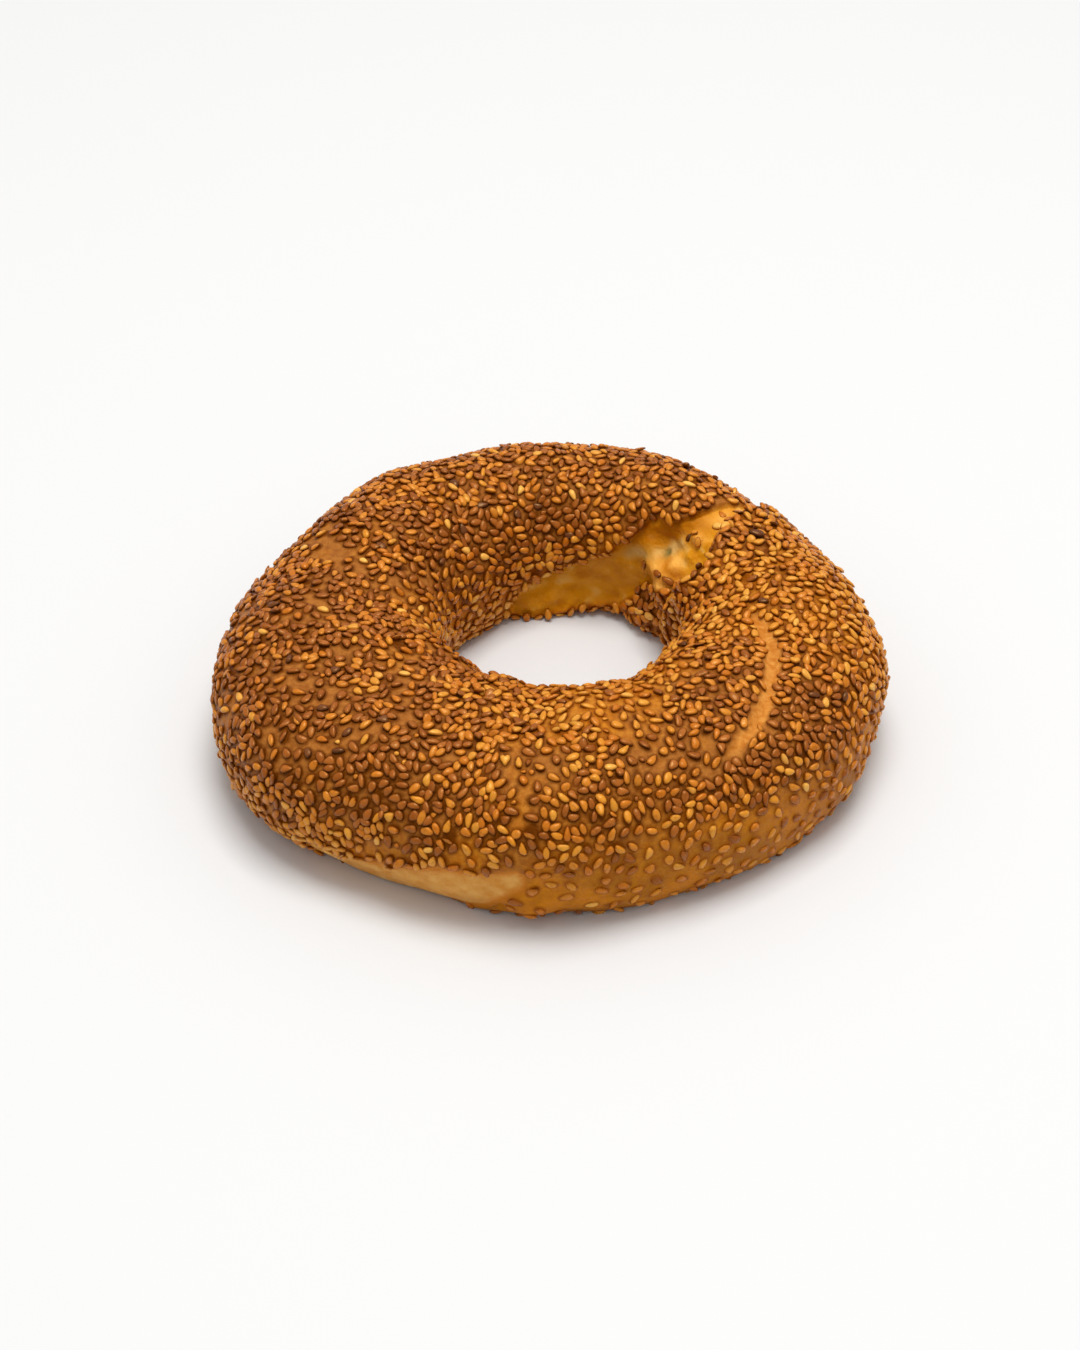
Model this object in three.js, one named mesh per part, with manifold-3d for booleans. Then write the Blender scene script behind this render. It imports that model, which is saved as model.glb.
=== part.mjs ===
// A simit: a ring of twisted bread dough under a coat of toasted sesame, as one solid.
// Millimetres, +Z up. The ring lies flat on Z = 0 and the origin is under the middle of its outline.
// A place on the crust is [azimuth, section], in degrees. Azimuth is the way round the ring, from +X
// towards +Y. Section is the way round the dough: 0 outermost, 90 on top, 180 innermost, -90 underneath.
import * as THREE from "three";
import { ParametricGeometry } from "three/addons/geometries/ParametricGeometry.js";
import { mergeVertices } from "three/addons/utils/BufferGeometryUtils.js";
import Module from "manifold-3d";

const { clamp, degToRad, euclideanModulo, lerp, smoothstep } = THREE.MathUtils;

// ---- Driving dimensions -------------------------------------------------------------------------

// The ring every 30 degrees of azimuth: [outer radius, inner radius, height].
const STATIONS = [
  [79.5, 30.0, 35.5],
  [76.0, 38.5, 35.5],
  [78.0, 43.5, 35.0],
  [77.0, 40.0, 35.0],
  [77.0, 34.5, 35.5],
  [75.5, 29.0, 36.0],
  [80.5, 26.0, 36.5],
  [80.5, 20.5, 37.0],
  [74.5, 17.0, 37.5],
  [75.0, 18.5, 37.5],
  [73.0, 21.5, 37.0],
  [78.5, 25.5, 36.0],
];
const RING_CENTRE = [-0.4, -2.1]; // puts the middle of the outline on the origin
const SECTION_POWER = 2.25; // 2 is an ellipse, more is fuller
const WIDEST_AT = 0.45; // height of the widest place, as a share of the ring's height
const SAG = 1.5; // how far the lower half would reach below the widest place, as a share of its height
const FOOT_ROUND = 1.2; // softness of the edge round the flat foot

// Low swells of the dough: [height, waves round the ring, waves round the section, phase in degrees].
const SWELLS = [
  [0.45, 5, 1, 40],
  [0.4, 8, -2, 200],
  [0.3, 13, 3, 110],
];

// The twist: two strands, with a valley between them that goes round the dough along the ring.
// It fades out between these two distances from the join, in degrees of azimuth.
const TWIST = { depth: 0.7, turn: 1.31, valleyAt: [354, 91], fade: [12, 40] };

// The seam on the right arm, where the crust split between the strands and took no seeds.
const SEAM = {
  radius: 1.5,
  depth: 1.0,
  line: [[357, 94], [341, 85], [325, 72], [311, 57], [300, 46], [292, 28], [290, 8]],
};

// The lap: the end of the right arm lies over the tail of the far arm, up to this line.
const LAP = {
  rise: 2.6,
  reach: 17,
  step: 0.9,
  crease: 1.5,
  creaseReach: 3,
  from: [0, 50],
  to: [150, 200],
  line: [[36, 15], [38, 55], [38, 90], [33, 115], [27, 133], [29, 155], [22, 182], [19, 215]],
};

// The tear: bare pale dough inside the far arm, from its far end up to the lap.
const TEAR = {
  depth: 1.3,
  edge: 2.6,
  alongLap: [66, 155],
  upper: [[109, 197], [97, 172], [76, 165], [63, 149], [56, 121], [45, 90], [41, 66]],
  lower: [[30, 155], [46, 171], [56, 179], [63, 196], [81, 205], [104, 209]],
};

// The scuff: a bare band low on the front, where the dough touched the tray.
const SCUFF = {
  depth: 0.8,
  edge: 2.6,
  line: [[225, -42], [226, -22], [238, -9], [256, -5], [268, 0], [276, -8], [264, -24], [248, -32], [236, -42]],
};

// Single lumps and hollows: [azimuth, section, radius, height].
const LUMPS = [
  [46, 165, 4.4, 4.6], // the knob of the tail, in the tear
  [50, 146, 4.2, -2.6], // the hollow above it
  [43, 184, 5.0, 1.4], // seeded dough under the knob
  [42, 50, 15, -2.4], // the tail thins towards the lap
  [265, -28, 7, 2.0], // a flap by the scuff's end
  [200, 20, 20, 1.4], // the left arm's outer swell
];

// Smooth patches of crust without seeds: [azimuth, section, radius].
const BALD = [
  [158, 80, 4.5],
  [306, 62, 2.6],
];

// Sesame, as flat drops that sit partly sunk: the larger ones, this far apart and clear of the edges above.
const SEED = { length: 3.3, width: 2.0, thickness: 1.2, sunk: 0.3, spacing: 9.9, clear: 1.8, lowest: 4, draws: 5000 };

// Mesh lines. They are closer where the tear, the lap and the knob are.
const AZIMUTH_STEP = { fine: 2.5, coarse: 6.25, from: 16, to: 111 };
const SECTION_STEP = { fine: 9.5, coarse: 12.6, from: 45, to: 216 };
const LAP_AZIMUTH = 34.75; // halfway between two mesh lines, which bend to run along the lap
const LAP_BEND = 18; // how far from it they still bend, in degrees of azimuth

// ---- Small helpers ------------------------------------------------------------------------------

const bell = (t) => Math.exp(-t * t);

function seededRandom(state) {
  return () => {
    state = (state + 0x6d2b79f5) | 0;
    let t = Math.imul(state ^ (state >>> 15), 1 | state);
    t = (t + Math.imul(t ^ (t >>> 7), 61 | t)) ^ t;
    return ((t ^ (t >>> 14)) >>> 0) / 4294967296;
  };
}

// A smooth line of places through a few.
function smoothLine(places, stepsEach = 4) {
  const curve = new THREE.SplineCurve(places.map((place) => new THREE.Vector2(...place)));
  return curve.getPoints(stepsEach * (places.length - 1)).map((at) => at.toArray());
}

// ---- The crust ----------------------------------------------------------------------------------

// One column of STATIONS at an azimuth, on a smooth closed curve through the stations.
function station(column, azimuth) {
  const count = STATIONS.length;
  const t = (euclideanModulo(azimuth, 360) / 360) * count;
  const i = Math.floor(t);
  const s = t - i;
  const [a, b, c, d] = [-1, 0, 1, 2].map((k) => STATIONS[(i + k + count) % count][column]);
  return 0.5 * (2 * b + (c - a) * s + (2 * a - 5 * b + 4 * c - d) * s * s + (3 * b - a - 3 * c + d) * s ** 3);
}

// The smooth dough before its relief: a point and the outward normal in the plane of the section.
function smoothDough(azimuth, section) {
  const [outer, inner, height] = [0, 1, 2].map((column) => station(column, azimuth));
  const halfWidth = (outer - inner) / 2;
  const widest = WIDEST_AT * height;
  const [c, s] = [Math.cos(degToRad(section)), Math.sin(degToRad(section))];
  const halfHeight = s > 0 ? height - widest : SAG * widest;
  const power = (value, exponent) => Math.sign(value) * Math.abs(value) ** exponent;
  const radius = inner + halfWidth * (1 + power(c, 2 / SECTION_POWER));
  const across = power(c, 2 - 2 / SECTION_POWER) / halfWidth;
  const up = power(s, 2 - 2 / SECTION_POWER) / halfHeight;
  const [x, y] = [Math.cos(degToRad(azimuth)), Math.sin(degToRad(azimuth))];
  const z = widest + halfHeight * power(s, 2 / SECTION_POWER);
  return {
    point: new THREE.Vector3(RING_CENTRE[0] + radius * x, RING_CENTRE[1] + radius * y, z),
    normal: new THREE.Vector3(across * x, across * y, up).normalize(),
  };
}

const onSmoothDough = (places) => places.map(([azimuth, section]) => smoothDough(azimuth, section).point);

const LAP_LINE = smoothLine(LAP.line);
const LAP_OVER_TEAR = LAP_LINE.filter(([, section]) => section > TEAR.alongLap[0] && section < TEAR.alongLap[1]);
const TEAR_OUTLINE = [...smoothLine(TEAR.upper), ...LAP_OVER_TEAR, ...smoothLine(TEAR.lower)];
const SCUFF_OUTLINE = smoothLine([...SCUFF.line, SCUFF.line[0]]);
const EDGES = new Map([LAP_LINE, TEAR_OUTLINE, SCUFF_OUTLINE].map((line) => [line, onSmoothDough(line)]));

// How far a point is from a line of points.
function distanceTo(path, point) {
  const nearest = new THREE.Vector3();
  const distances = path.slice(1).map((end, i) =>
    new THREE.Line3(path[i], end).closestPointToPoint(point, true, nearest).distanceTo(point),
  );
  return Math.min(...distances);
}

// Whether a place is inside an outline of places.
function isInside([azimuth, section], outline) {
  let inside = false;
  outline.forEach(([a1, s1], i) => {
    const [a2, s2] = outline[(i + 1) % outline.length];
    const crosses = s1 > section !== s2 > section;
    if (crosses && azimuth < a1 + ((a2 - a1) * (section - s1)) / (s2 - s1)) inside = !inside;
  });
  return inside;
}

// 1 inside a bare area, 0 outside it, changing over the area's edge.
function bareness(outline, edge, place, point) {
  const distance = distanceTo(EDGES.get(outline), point);
  return smoothstep(isInside(place, outline) ? distance : -distance, -edge / 2, edge / 2);
}

// The azimuth of the lap's line at a section.
function lapAzimuth(section) {
  const i = clamp(LAP_LINE.findIndex(([, s]) => s >= section), 0, LAP_LINE.length - 1);
  if (section <= LAP_LINE[0][1]) return LAP_LINE[0][0];
  if (i === 0) return LAP_LINE[LAP_LINE.length - 1][0];
  const [[a1, s1], [a2, s2]] = [LAP_LINE[i - 1], LAP_LINE[i]];
  return lerp(a1, a2, (section - s1) / (s2 - s1));
}

// How far round the ring a place is past the lap, in degrees.
const pastLap = (azimuth, section) => euclideanModulo(azimuth - lapAzimuth(section), 360);

// The step up from the tail to the arm that laps it, dying away along the arm, and the crease under it.
function lapHeight(azimuth, section, point) {
  const distance = distanceTo(EDGES.get(LAP_LINE), point);
  const signed = pastLap(azimuth, section) > 180 ? distance : -distance;
  const onArm = smoothstep(signed, -LAP.step / 2, LAP.step / 2);
  const span = smoothstep(section, ...LAP.from) * (1 - smoothstep(section, ...LAP.to));
  const rise = LAP.rise * Math.exp(-distance / LAP.reach);
  const crease = LAP.crease * Math.exp(-distance / LAP.creaseReach);
  return span * (onArm * rise - (1 - onArm) * crease);
}

// The two strands: high in their middles and low in the valleys between them.
function twistHeight(azimuth, section) {
  const [valleyAzimuth, valleySection] = TWIST.valleyAt;
  const fromJoin = pastLap(azimuth, 90);
  const valley = valleySection + TWIST.turn * (fromJoin - pastLap(valleyAzimuth, 90));
  const fade = smoothstep(Math.min(fromJoin, 360 - fromJoin), ...TWIST.fade);
  return -TWIST.depth * fade * Math.cos(2 * degToRad(section - valley));
}

// The height of everything that isn't the smooth dough, along its normal.
function relief(azimuth, section, point) {
  let height = twistHeight(azimuth, section) + lapHeight(azimuth, section, point);
  for (const [amount, round, across, phase] of SWELLS) {
    height += amount * Math.sin(degToRad(round * azimuth + across * section + phase));
  }
  height -= TEAR.depth * bareness(TEAR_OUTLINE, TEAR.edge, [azimuth, section], point);
  height -= SCUFF.depth * bareness(SCUFF_OUTLINE, SCUFF.edge, [azimuth, section], point);
  for (const [atAzimuth, atSection, radius, amount] of LUMPS) {
    height += amount * bell(smoothDough(atAzimuth, atSection).point.distanceTo(point) / radius);
  }
  return height;
}

// Keeps what is well above the table, flattens what would be below it and rounds the edge between.
function flattenFoot(z) {
  if (z > FOOT_ROUND) return z;
  return z < -FOOT_ROUND ? 0 : (z + FOOT_ROUND) ** 2 / (4 * FOOT_ROUND);
}

// A point of the finished crust, or this far above it.
function crust(azimuth, section, above = 0) {
  const { point, normal } = smoothDough(azimuth, section);
  const raised = point.clone().addScaledVector(normal, relief(azimuth, section, point) + above);
  raised.z = flattenFoot(raised.z);
  return raised;
}

// ---- Meshes -------------------------------------------------------------------------------------

// The angle at a share of the way once round, with fine steps from `from` to `to` and coarse ones elsewhere.
function meshLines({ fine, coarse, from, to }) {
  const fineCount = Math.round((to - from) / fine);
  const count = fineCount + Math.round((360 - (to - from)) / coarse);
  const angle = (share) => {
    const step = share * count;
    if (step < fineCount) return lerp(from, to, step / fineCount);
    return lerp(to, from + 360, (step - fineCount) / (count - fineCount));
  };
  return { count, angle };
}

// The crust as a grid that meets itself both ways round. Section angles run from -90 to 270.
function ringGeometry() {
  const azimuths = meshLines(AZIMUTH_STEP);
  const sections = meshLines(SECTION_STEP);
  const place = (u, v, target) => {
    const section = euclideanModulo(sections.angle(v % 1) + 90, 360) - 90;
    const straight = azimuths.angle(u % 1);
    const bend = Math.max(0, 1 - Math.abs(straight - LAP_AZIMUTH) / LAP_BEND);
    const azimuth = straight + bend * (lapAzimuth(section) - LAP_AZIMUTH);
    target.copy(crust(euclideanModulo(azimuth, 360), section));
  };
  return new ParametricGeometry(place, azimuths.count, sections.count);
}

// A thin rod along the seam, for the groove. It rises out of the crust at both ends, so that the groove fades.
function seamGeometry() {
  const line = smoothLine(SEAM.line, 2);
  const points = line.map(([azimuth, section], i) => {
    const end = Math.abs((2 * i) / (line.length - 1) - 1) ** 3;
    return crust(azimuth, section, lerp(SEAM.radius - SEAM.depth, 1.2 * SEAM.radius, end));
  });
  const round = new THREE.Shape().absellipse(0, 0, SEAM.radius, SEAM.radius, 0, 2 * Math.PI);
  const extrudePath = new THREE.CatmullRomCurve3(points);
  return new THREE.ExtrudeGeometry(round, { steps: line.length, curveSegments: 6, bevelEnabled: false, extrudePath });
}

// One seed about the origin: a flat drop along X, pointed at both ends and widest behind its middle.
function seedGeometry() {
  const { length, width, thickness } = SEED;
  const profile = [[0, -length / 2], [width / 2, -length / 10], [0, length / 2]].map((at) => new THREE.Vector2(...at));
  return new THREE.LatheGeometry(profile, 6).rotateZ(-Math.PI / 2).scale(1, 1, thickness / width);
}

// Whether the crust takes a seed at a place.
function isSeeded(azimuth, section, point) {
  if (point.z < SEED.lowest) return false;
  if ([TEAR_OUTLINE, SCUFF_OUTLINE].some((outline) => isInside([azimuth, section], outline))) return false;
  const edges = [...EDGES.values(), onSmoothDough(SEAM.line)];
  if (edges.some((edge) => distanceTo(edge, point) < SEED.clear)) return false;
  return BALD.every(([a, s, radius]) => smoothDough(a, s).point.distanceTo(point) > radius);
}

// Seeds dropped on the crust at random, each at least the spacing away from those before it.
function seedGeometries(ring) {
  const random = seededRandom(7);
  const surface = new THREE.Mesh(ring);
  const centres = [];
  const seeds = [];
  for (let draw = 0; draw < SEED.draws; draw++) {
    const [azimuth, section, turn] = [360 * random(), lerp(-90, 270, random()), 2 * Math.PI * random()];
    const { point, normal } = smoothDough(azimuth, section);
    if (centres.some((centre) => centre.distanceTo(point) < SEED.spacing)) continue;
    if (!isSeeded(azimuth, section, point)) continue;
    centres.push(point);
    const above = point.clone().addScaledVector(normal, 10);
    const [hit] = new THREE.Raycaster(above, normal.clone().negate()).intersectObject(surface);
    const up = hit.face.normal;
    const along = new THREE.Vector3(-up.y, up.x, 0).normalize().applyAxisAngle(up, turn);
    const across = new THREE.Vector3().crossVectors(up, along);
    const middle = hit.point.addScaledVector(up, SEED.thickness * (0.5 - SEED.sunk));
    seeds.push(seedGeometry().applyMatrix4(new THREE.Matrix4().makeBasis(along, across, up).setPosition(middle)));
  }
  return seeds;
}

// ---- The solid ----------------------------------------------------------------------------------

const wasm = await Module();
wasm.setup();

function solidOf(geometry) {
  geometry.deleteAttribute("normal").deleteAttribute("uv");
  const { attributes, index } = mergeVertices(geometry);
  const vertProperties = attributes.position.array;
  return new wasm.Manifold(new wasm.Mesh({ numProp: 3, vertProperties, triVerts: new Uint32Array(index.array) }));
}

function geometryOf(solid) {
  const { vertProperties, triVerts } = solid.getMesh();
  const geometry = new THREE.BufferGeometry()
    .setAttribute("position", new THREE.BufferAttribute(vertProperties, 3))
    .setIndex(new THREE.BufferAttribute(triVerts, 1));
  geometry.computeVertexNormals();
  return geometry;
}

const ring = ringGeometry();
const grooved = solidOf(ring).subtract(solidOf(seamGeometry()));
const bread = seedGeometries(ring).reduce((whole, seed) => whole.add(solidOf(seed)), grooved);
const crustMaterial = new THREE.MeshStandardMaterial({ color: 0xa5622a, roughness: 0.55, metalness: 0 });
const simit = new THREE.Mesh(geometryOf(bread), crustMaterial);
simit.name = "simit";

const part = new THREE.Group();
part.add(simit);
export default part;
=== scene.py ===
"""A simit dressed for its portrait: browned crust, torn dough and some thousands of sesame seeds.

Shapes are worked out in millimetres and become metres in make_mesh. A place on the crust is
(azimuth, section), in degrees. Azimuth is the way round the ring, from +X towards +Y. Section is
the way round the dough: 0 outermost, 90 on top, 180 innermost, -90 underneath.
"""

import bpy
import numpy as np
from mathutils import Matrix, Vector
from mathutils.kdtree import KDTree


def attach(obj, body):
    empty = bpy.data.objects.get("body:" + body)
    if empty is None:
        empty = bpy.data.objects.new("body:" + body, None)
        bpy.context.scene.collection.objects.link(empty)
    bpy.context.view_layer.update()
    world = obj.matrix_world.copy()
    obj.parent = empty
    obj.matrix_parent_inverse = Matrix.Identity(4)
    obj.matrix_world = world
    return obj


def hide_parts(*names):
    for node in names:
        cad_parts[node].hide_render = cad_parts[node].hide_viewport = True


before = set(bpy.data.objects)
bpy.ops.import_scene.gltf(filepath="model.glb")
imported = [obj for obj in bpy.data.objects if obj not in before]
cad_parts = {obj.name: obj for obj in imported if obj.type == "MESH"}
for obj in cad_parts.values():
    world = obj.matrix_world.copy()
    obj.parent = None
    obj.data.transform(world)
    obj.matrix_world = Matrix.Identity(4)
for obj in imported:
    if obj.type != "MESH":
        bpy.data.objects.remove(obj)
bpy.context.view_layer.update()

MM = 0.001

# ---- The ring and its relief ----

# Every 30 degrees of azimuth: outer radius, inner radius, height.
STATIONS = np.array([
    (79.5, 30.0, 35.5),
    (76.0, 38.5, 35.5),
    (78.0, 43.5, 35.0),
    (77.0, 40.0, 35.0),
    (77.0, 34.5, 35.5),
    (75.5, 29.0, 36.0),
    (80.5, 26.0, 36.5),
    (80.5, 20.5, 37.0),
    (74.5, 17.0, 37.5),
    (75.0, 18.5, 37.5),
    (73.0, 21.5, 37.0),
    (78.5, 25.5, 36.0),
])
RING_CENTRE = (-0.4, -2.1)
SECTION_POWER = 2.25  # 2 is an ellipse, more is fuller
WIDEST_AT = 0.45  # height of the widest place, as a share of the ring's height
SAG = 1.5  # how far the lower half would reach below it, as a share of that height
FOOT_ROUND = 1.2  # softness of the edge round the flat foot
FOOT_LIFT = 0.35  # the foot's crust stands on the seeds pressed into it

# Low swells of the dough: height, waves round the ring, waves round the section, phase.
SWELLS = [(0.45, 5, 1, 40), (0.4, 8, -2, 200), (0.3, 13, 3, 110)]

# Two strands. The valleys between them wind round the dough along the ring.
TWIST_DEPTH = 0.7  # half of the way from a valley up to a strand's crest
TWIST_TURN = 1.31  # degrees of section for each degree of azimuth
TWIST_VALLEY_AT = (354, 91)  # a place in one of the valleys
TWIST_FADE = (12, 40)  # degrees from the join over which the twist sets in

# The smooth seam on the right arm.
SEAM_LINE = [
    (359, 106), (354, 98), (347, 91), (337, 84), (329, 77), (321, 68), (314, 60), (306, 50), (297, 38),
]
SEAM_DEPTH = 0.8
SEAM_HALF_WIDTH = 1.8
SEAM_STARTS = (0, 0.15)  # shares of its length over which it sets in
SEAM_ENDS = (0.65, 0.95)  # and over which it fades out

# The lap: the right arm's end lies over the far arm's tail, up to this line.
LAP_LINE = [(36, 15), (38, 55), (38, 90), (33, 115), (27, 133), (29, 155), (22, 182), (19, 215)]
LAP_RISE = 2.6  # how far the arm stands up beside the line
LAP_REACH = 17  # how far from the line that is down to a third
LAP_STEP = 0.9  # width of the step between them
LAP_CREASE = 1.5  # how far the tail dips beside the line
LAP_CREASE_REACH = 3
LAP_STARTS = (0, 50)  # sections over which the lap sets in
LAP_ENDS = (150, 200)  # and over which it fades out

# The tear: bare pale dough inside the far arm, from its far end up to the lap.
TEAR_UPPER = [
    (107, 204), (98, 189), (84, 179), (73, 170), (66, 160), (62, 146), (57, 131), (51.8, 125.5),
    (47.3, 115), (45.8, 101), (45.3, 83), (44, 69), (41.5, 57),
]
TEAR_LOWER = [(30, 157), (38, 168), (48, 176), (57, 184), (60, 194), (69, 203), (84, 207), (102, 210)]
TEAR_ALONG_LAP = (55, 155)  # sections between which it ends at the lap
TEAR_DEPTH = 1.3
TEAR_EDGE = 0.8  # width of the step at its edge

# The scuff: a bare band low on the front, where the dough touched the tray.
SCUFF_DEPTH = 0.8
SCUFF_EDGE = 1.2  # width of the step at its edge
SCUFF_LINE = [
    (222, -40), (223, -15), (230, -14), (236, -13), (242, -8), (250, -2), (257, 0), (264, 3), (265, -7),
    (260, -22), (255, -36), (246, -46), (234, -48),
]

# Single lumps and hollows: azimuth, section, radius, height.
KNOB = (47.5, 171, 4.4, 4.6)
HOLLOW = (50, 146, 4.2, -2.6)
CHUNK = (44.5, 156, 2.2, 1.3)
BLOB = (42, 125, 1.7, 1.6)
PIT = (50.5, 155, 1.2, -1.1)
LUMPS = [
    KNOB,
    HOLLOW,
    CHUNK,
    BLOB,
    PIT,
    (40.5, 142, 1.6, 0.9),  # the strip of dough by the lap
    (54, 167, 2.6, 1.6),  # dough beside the knob
    (58, 156, 2.4, 0.7),  # folds in the tear
    (46, 137, 1.8, 0.8),
    (52, 205, 6.2, 4.3),  # seeded dough under the knob
    (42, 50, 15, -2.4),  # the tail thins towards the lap
    (267, -24, 6, 2.0),  # a flap by the scuff's end
    (261, -26, 1.8, -1.2),  # the crease beside it
    (200, 20, 20, 1.4),  # the left arm's outer swell
]

# Long swellings: the line they follow, radius, height.
FOLD = ([(27, 150), (32, 166), (36, 180), (38, 198), (38, 214)], 3.8, 2.6)
RIDGES = [
    FOLD,  # the arm's end folds over the tail, inside the hole
    ([(60, 207), (76, 208), (96, 208)], 4.4, 2.8),  # the lip under the tear
]

# Layers of noise: amount, wavelength.
JAGS = [(0.8, 2.6), (0.5, 7)]  # in the edges of the tear and the scuff
LUMPINESS = [(0.3, 13), (0.2, 5)]

# Fibres of the torn dough: how far they slant, in millimetres for each degree of section, amount and
# wavelengths of the long ones, amount and wavelength of the short ones.
TEAR_STRANDS = (0, 0.25, (7, 2.2, 1), 0.3, 3.5)  # in its relief
TEAR_STREAKS = (0.25, 0.4, (5, 2.0, 1), 0.6, 2.4)  # in its colour
TEAR_AZIMUTH_DEGREE = 0.8  # about how many millimetres a degree is inside the tear
TEAR_SECTION_DEGREE = 0.45

# ---- How the crust is baked and seeded ----

# Where the oven browned the crust more, or less, and where shade is painted in as browning: azimuth,
# section, radius, amount.
BROWNINGS_AND_SHADE = [
    # Painted shade: the crust and its seeds browner under the knob, which shades them.
    (51, 194, 9, 0.7),  # under the knob
    (325, 35, 24, 0.5),  # the right arm's outer side
    (322, 98, 16, 0.25),  # between its seam and the hole
    (311, 50, 14, 0.3),  # below its seam
    (277, 107, 19, -0.55),  # the near rim of the hole
    (125, 165, 18, 0.25),  # inside the far left
    # Painted shade: browner above the tear's far end, in the shade there.
    (97, 168, 12, 0.4),  # above the tear's far end
    (203, 72, 16, 0.2),  # on top of the left arm
    (190, 30, 22, 0.2),  # the left arm's outer side
    (244, 32, 15, 0.3),  # low on the front, at the left
    (285, 20, 20, 0.2),  # low on the front, at the right
    (56, 98, 12, 0.25),  # above the tear
]

# How brown the crust is: everywhere, and more or less of it in some regions.
BAKE_EVERYWHERE = 0.3
BAKE_TOP = 0.55
BAKE_TOP_HEIGHTS = (12, 32)
BAKE_INSIDE = -0.2
BAKE_INSIDE_SECTIONS = (125, 175)
BAKE_RIGHT_ARM = -0.45
RIGHT_ARM_AZIMUTH = -8
BAKE_PATCHES = [(0.25, 24), (0.12, 9)]  # layers of noise

# What the torn dough shows: lines or places with a width, and how strongly they show.
CREAM_LINE = ([(63, 167), (59, 163), (55, 160), (50.5, 156), (46.5, 138)], 1.8)
CREAM_STRENGTH = 1.15
CREAM_STREAKS = 0.3
CREAM_LOSS = 0.12
# Painted shade on the dough under the tear's upper edge, where the crust overhangs it.
UNDER_EDGE_SHADE_LINE = ([(62, 151), (57, 143), (52, 134), (47, 122), (45, 113)], 3.4)
UNDER_EDGE_SHADE_STRENGTH = 1.1
UNDER_EDGE_SHADE_STREAKS = 0.2
AMBER_KNOB = ([(50, 168), (45, 170), (40, 167)], 3.4)
AMBER_CHUNK = (CHUNK[:2], 3.0)
AMBER_BLOB = (BLOB[:2], 2.2)
AMBER_STRENGTH = 1.2
AMBER_STRIP = ([(42, 60), (43, 75), (43.5, 90), (43.5, 101)], 2.6)
AMBER_STRIP_STRENGTH = 0.6
DARK_PIT = (PIT[:2], 1.1)

# The region low on the front and right. Its upper edge rises towards its azimuth.
LOW_FRONT_AZIMUTH = 305
LOW_FRONT_NEARNESS = (0.62, 0.95)  # where the edge starts to rise and is highest, 1 is at the azimuth
LOW_FRONT_EDGE = (-38, 10)  # sections of the edge before and after it rises
LOW_FRONT_SOFTNESS = 26

# How thickly the seeds lie in some regions, where 1 is the most.
LOW_FRONT_LOSS = 0.7
INNER_FOOT_FROM = 200  # section
INNER_FOOT_COVER = 0.8
UNDERNEATH_BEYOND = (-52, 228)  # sections, on the outer side and on the inner
UNDERNEATH_COVER = 0.35
SEAM_BARE = (0.2, 0.3)  # strengths of the seam over which they stop
BARE_MARGIN = 0.2  # how far they keep from the tear and the scuff

# Smooth patches of crust without seeds: azimuth, section, radius.
BALD = [(158, 80, 4.5), (306, 62, 2.6), (302, 50, 2.0), (44, 84, 3.4)]

# Patches where the seeds lie apart, most of them on one side of the ring.
THIN_AZIMUTH = 225
THIN_NEARNESS = (-0.4, 0.5)
THIN_ELSEWHERE = 0.22
THIN_PATCH = 7  # wavelength
THIN_PATCH_SPAN = (-0.25, 0.4)


def smoothstep(value, low, high):
    share = np.clip((value - low) / (high - low), 0, 1)
    return share * share * (3 - 2 * share)


def bell(value):
    return np.exp(-value * value)


def lerp(a, b, share):
    return a + (b - a) * share


def unit(vectors):
    return vectors / np.linalg.norm(vectors, axis=-1, keepdims=True)


class Noise:
    """Smooth random values in space, from -1 to 1, the same for the same seed."""

    def __init__(self, seed, size=32):
        self.size = size
        self.lattice = np.random.default_rng(seed).uniform(-1, 1, (size, size, size))

    def __call__(self, points, wavelength):
        """Values at points, in millimetres. The wavelength is one number or one for each axis."""
        scaled = points / np.asarray(wavelength, float)
        cell = np.floor(scaled).astype(int)
        share = scaled - cell
        share = share * share * (3 - 2 * share)
        total = np.zeros(points.shape[:-1])
        for corner in np.ndindex(2, 2, 2):
            weight = np.prod(np.where(corner, share, 1 - share), axis=-1)
            at = (cell + corner) % self.size
            total += weight * self.lattice[at[..., 0], at[..., 1], at[..., 2]]
        return total

    def layered(self, points, layers):
        """The sum of layers, each an amount and a wavelength."""
        return sum(amount * self(points, wavelength) for amount, wavelength in layers)


def catmull_rom(a, b, c, d, share):
    """A smooth way from b, at share 0, to c, at share 1."""
    cubic = 3 * b - a - 3 * c + d
    square = 2 * a - 5 * b + 4 * c - d
    return 0.5 * (2 * b + (c - a) * share + square * share**2 + cubic * share**3)


def spline(places, steps_each=4):
    """A smooth line of places through a few, starting and ending at the first and the last."""
    places = np.array(places, float)
    padded = np.vstack([places[:1], places, places[-1:]])
    line = []
    for a, b, c, d in zip(padded, padded[1:], padded[2:], padded[3:]):
        line += [catmull_rom(a, b, c, d, step / steps_each) for step in range(steps_each)]
    return np.array(line + [places[-1]])


def station(column, azimuth):
    """One column of STATIONS at an azimuth, on a smooth closed curve through the stations."""
    count = len(STATIONS)
    along = (azimuth % 360) / 360 * count
    i = np.floor(along).astype(int)
    a, b, c, d = (STATIONS[(i + k) % count, column] for k in (-1, 0, 1, 2))
    return catmull_rom(a, b, c, d, along - i)


def signed_power(value, exponent):
    return np.sign(value) * np.abs(value) ** exponent


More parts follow.
